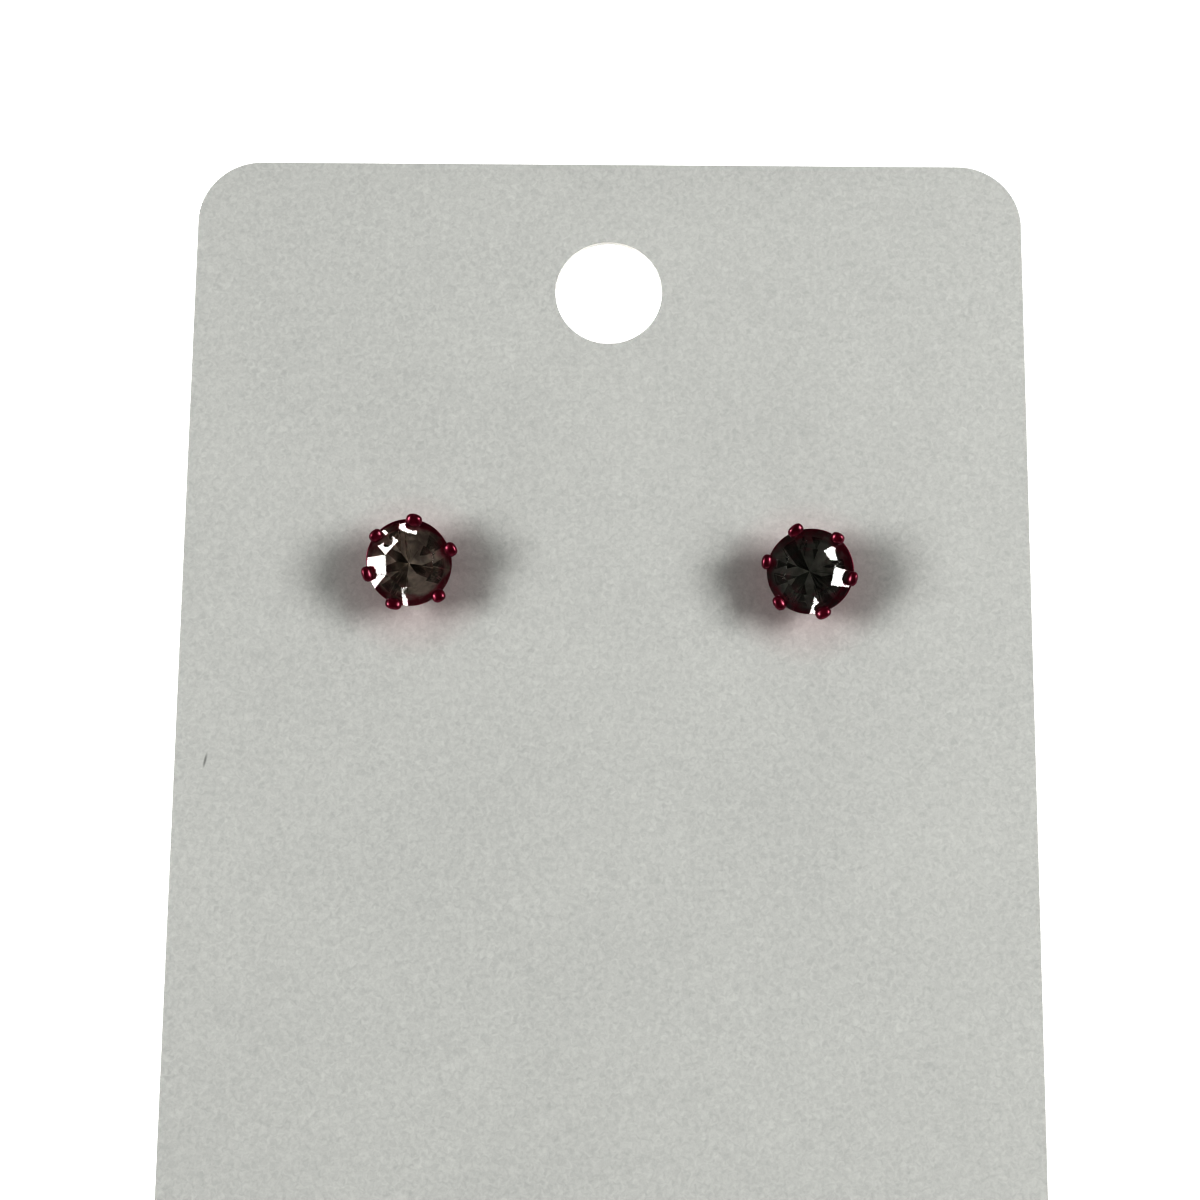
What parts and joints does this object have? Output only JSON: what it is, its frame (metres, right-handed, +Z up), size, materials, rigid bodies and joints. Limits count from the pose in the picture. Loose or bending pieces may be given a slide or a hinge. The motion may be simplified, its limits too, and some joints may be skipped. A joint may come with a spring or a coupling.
{
  "type": "pair of stud earrings on an earring card",
  "caption": "Earring card with rounded corners and a hang hole, holding two round-stone prong studs with butterfly nuts behind it.",
  "frame": {"origin": "middle of the part's outer box, on the surface that the card lies on", "axes": "+Z up off the surface, +Y along the card towards its hang hole, +X across the card to the right as seen from the front"},
  "size_m": [0.05, 0.0892, 0.0142],
  "materials": {
    "card_paper": "matte, uncoated warm grey card with a very fine paper grain",
    "crimson_metal": "glossy deep crimson lacquer over metal",
    "stone_glass": "clear cut glass with a mirror-foiled back",
    "nut_steel": "bright rolled steel strip"
  },
  "bodies": {
    "root": {"earring_card": "card_paper", "left_setting": "crimson_metal", "left_stone": "stone_glass", "left_ear_nut": "nut_steel", "right_setting": "crimson_metal", "right_stone": "stone_glass", "right_ear_nut": "nut_steel"}
  },
  "joints": []
}
